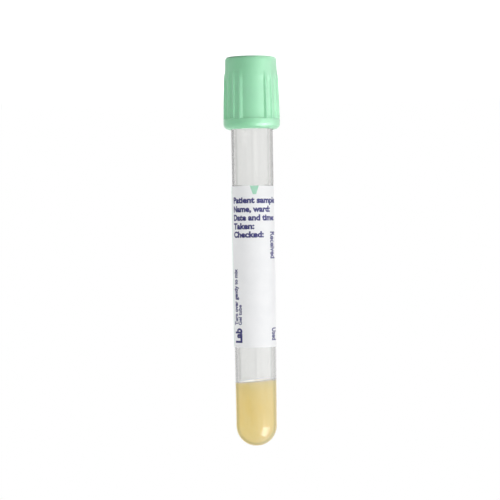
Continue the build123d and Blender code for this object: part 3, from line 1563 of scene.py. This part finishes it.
@dataclass
class Studio:
    """Pale floor, white surroundings, soft lamps and the camera.

    Attributes:
        eye_away: How far the camera stands in front of the axis.
        eye_height: The camera's height on the tube's axis.
        eye_left: How far the camera stands to the label's left.
        view_width: Width of what the camera sees at the axis.
        roll: The camera's roll.
        sensor: Width of the camera's sensor, in millimetres.
        clip: Nearest and farthest distance that the camera sees.
        floor_tones: The floor's darkest and palest tone.
        floor_lift: Light that the camera sees added to the floor.
        floor_fade: Distances between which the floor fades to white for the camera.
        ambient: Brightness of the light from the front and the sides.
        behind: Brightness of the light from behind.
        behind_from: How far back that light sets in and is full.
        gloss_left: Brightness of the gloss at the label's left.
        gloss_right: Brightness of the gloss at the label's right.
        gloss_across: Where the gloss starts and stops growing from left to right.
        gloss_behind: Share of that brightness that is left behind the object.
        gloss_behind_from: How far back that share is full and sets in.
        backdrop_from: How far back the white backdrop sets in and is full.
        gloss_window: Brightness of the window in the gloss.
        window_edges: The window's sides: what each faces, and where it is dark and bright.
    """

    line: TubeLine
    eye_away: float = 0.65
    eye_height: float = 56.4 * MM
    eye_left: float = 1.1 * MM
    view_width: float = 144.35 * MM
    roll: float = math.radians(-0.93)
    sensor: float = 36.0
    clip: tuple[float, float] = (0.01, 20.0)
    floor_radius: float = 2.5
    floor_steps: int = 96
    floor_tones: tuple[float, float] = (0.8, 0.82)
    floor_grain: float = 60.0
    floor_lift: float = 0.62
    floor_fade: tuple[float, float] = (0.06, 0.22)
    ambient: float = 0.365
    behind: float = 1.25
    behind_from: tuple[float, float] = (0.1, 0.8)
    gloss_left: float = 0.18
    gloss_right: float = 1.5
    gloss_across: tuple[float, float] = (-0.5, 0.7)
    gloss_behind: float = 0.5
    gloss_behind_from: tuple[float, float] = (0.6, 0.0)
    backdrop_from: tuple[float, float] = (0.7, 0.95)
    gloss_window: float = 2.7
    window_edges: tuple[tuple[Colour, float, float], ...] = (
        ((-0.827, 0.552, -0.105), 0.0, 0.05),
        ((-0.167, 0.978, -0.129), 0.02, -0.04),
        (UP, 0.09, 0.13),
        (UP, 0.84, 0.77),
    )
    lamps: tuple[Softbox, ...] = (
        Softbox("key", 50, 36, 0.62, 0.32, 0.46, 1.32),
        Softbox("right", 68, 0, 0.60, 0.80, 0.16, 0.24),
        Softbox("left", -72, 0, 0.60, 0.70, 0.45, 0.06),
        Softbox("near", -22, 4, 0.60, 0.28, 0.42, 0.4, mirrored=False),
        Softbox("front", -5, 50, 0.62, 0.45, 0.35, 0.46, mirrored=False),
        Softbox("rim", -140, 42, 0.60, 0.70, 0.70, 2.2, mirrored=False),
    )

    def build(self) -> None:
        """Set up everything round the object."""
        self.build_world()
        self.build_floor()
        target = self.line.place(0, 0, self.eye_height)
        for lamp in self.lamps:
            lamp.build(target)
        self.build_camera()
        bpy.context.scene.view_settings.view_transform = "Standard"

    def gloss(self, sheet: NodeSheet, way: Socket) -> Socket:
        """Brightness of the surroundings in the gloss, which grows towards the label's right.

        Args:
            sheet: The tree's sheet.
            way: Direction from the object to what the gloss shows.

        Returns:
            The brightness.
        """
        rightness = sheet.facing(way, LABEL_RIGHT, *self.gloss_across)
        ahead = sheet.facing(way, BACK, *self.gloss_behind_from)
        grown = sheet.between(rightness, self.gloss_left, self.gloss_right)
        round_it = sheet.math("MULTIPLY", grown, sheet.between(ahead, self.gloss_behind, 1.0))
        backdrop = sheet.facing(way, BACK, *self.backdrop_from)
        missing = sheet.math("MULTIPLY", backdrop, sheet.math("SUBTRACT", 1.0, round_it))
        return sheet.math("ADD", round_it, missing)

    def window(self, sheet: NodeSheet, way: Socket) -> Socket:
        """Brightness that a high window before the label's right adds to the gloss.

        Args:
            sheet: The tree's sheet.
            way: Direction from the object to what the gloss shows.

        Returns:
            The brightness.
        """
        inside = self.gloss_window
        for towards, low, high in self.window_edges:
            inside = sheet.math("MULTIPLY", sheet.facing(way, towards, low, high), inside)
        return inside

    def build_world(self) -> None:
        """White all round where it is seen, and a plain soft light where it isn't."""
        world = bpy.data.worlds.new("studio")
        world.use_nodes = True
        bpy.context.scene.world = world
        sheet = NodeSheet(world.node_tree)
        way = sheet.add("ShaderNodeTexCoord").outputs["Generated"]
        rear = sheet.facing(way, BACK, *self.behind_from)
        light = sheet.between(rear, self.ambient, self.behind)
        shine = sheet.math("ADD", self.gloss(sheet, way), self.window(sheet, way))
        unseen = sheet.blend(
            sheet.seen("Is Glossy Ray"),
            sheet.white("ShaderNodeBackground", light),
            sheet.white("ShaderNodeBackground", shine),
        )
        seen = sheet.seen("Is Camera Ray", "Is Transmission Ray")
        mixed = sheet.blend(seen, unseen, sheet.white("ShaderNodeBackground"))
        sheet.add("ShaderNodeOutputWorld", {"Surface": mixed.outputs[0]})

    def build_floor(self) -> None:
        """Round pale floor, white where it is seen through the tube."""
        bm = bmesh.new()
        bmesh.ops.create_circle(
            bm, cap_ends=True, segments=self.floor_steps, radius=self.floor_radius
        )
        mesh = bpy.data.meshes.new("floor")
        bm.to_mesh(mesh)
        bm.free()
        floor = bpy.data.objects.new("floor", mesh)
        bpy.context.scene.collection.objects.link(floor)
        material = bpy.data.materials.new("floor")
        material.use_nodes = True
        mesh.materials.append(material)
        sheet = NodeSheet(material.node_tree)
        place = sheet.place()
        low, high = ((tone,) * 3 for tone in self.floor_tones)
        tone = sheet.mix(sheet.noise(place, self.floor_grain, 3.0), low, high)
        pale = sheet.add("ShaderNodeBsdfDiffuse", {"Color": tone})
        lift = sheet.white("ShaderNodeEmission", self.floor_lift)
        white = sheet.white("ShaderNodeEmission")
        lifted = sheet.add("ShaderNodeAddShader", {0: pale.outputs[0], 1: lift.outputs[0]})
        away = sheet.add("ShaderNodeVectorMath", {0: place}, operation="LENGTH").outputs["Value"]
        faded = sheet.blend(sheet.ramp(away, *self.floor_fade), lifted, white)
        direct = sheet.blend(sheet.seen("Is Camera Ray"), pale, faded)
        way = sheet.add("ShaderNodeVectorMath", {0: place}, operation="NORMALIZE").outputs[0]
        glossy = sheet.white("ShaderNodeEmission", self.gloss(sheet, way))
        in_gloss = sheet.blend(sheet.seen("Is Glossy Ray"), direct, glossy)
        mixed = sheet.blend(sheet.seen("Is Transmission Ray"), in_gloss, white)
        sheet.add("ShaderNodeOutputMaterial", {"Surface": mixed.outputs[0]})

    def build_camera(self) -> None:
        """Camera square to the tube, turned so that the closure is uppermost."""
        camera = bpy.data.cameras.new("camera")
        camera.sensor_width = self.sensor
        camera.lens = self.sensor * self.eye_away / self.view_width
        camera.clip_start, camera.clip_end = self.clip
        holder = bpy.data.objects.new("camera", camera)
        holder.location = (self.eye_left, -self.eye_away, self.line.end_level - self.eye_height)
        level = Matrix(((-1, 0, 0), (0, 0, -1), (0, -1, 0)))
        turned = level @ Matrix.Rotation(self.roll, 3, "Z")
        holder.rotation_euler = turned.to_euler()
        bpy.context.scene.collection.objects.link(holder)
        bpy.context.scene.camera = holder


def main() -> None:
    """Build the object and the studio round it."""
    logging.basicConfig(level=logging.INFO, format="%(name)s: %(message)s")
    mounts = {mount["name"]: mount for mount in frame["record"]["mounts"]}
    line = TubeLine(end_level=mounts["rounded_end"]["pos_m"][2])
    finishes = Finishes()
    tube = Tube(line)
    tube.build(finishes.clear_plastic)
    GelPlug(tube).build(finishes.gel)
    Shield(line, ShieldRibs()).build(finishes.mint_plastic)
    Stopper(line).build(finishes.stopper_rubber)
    Label(line).build(finishes)
    Studio(line).build()


if __name__ == "__main__":
    main()
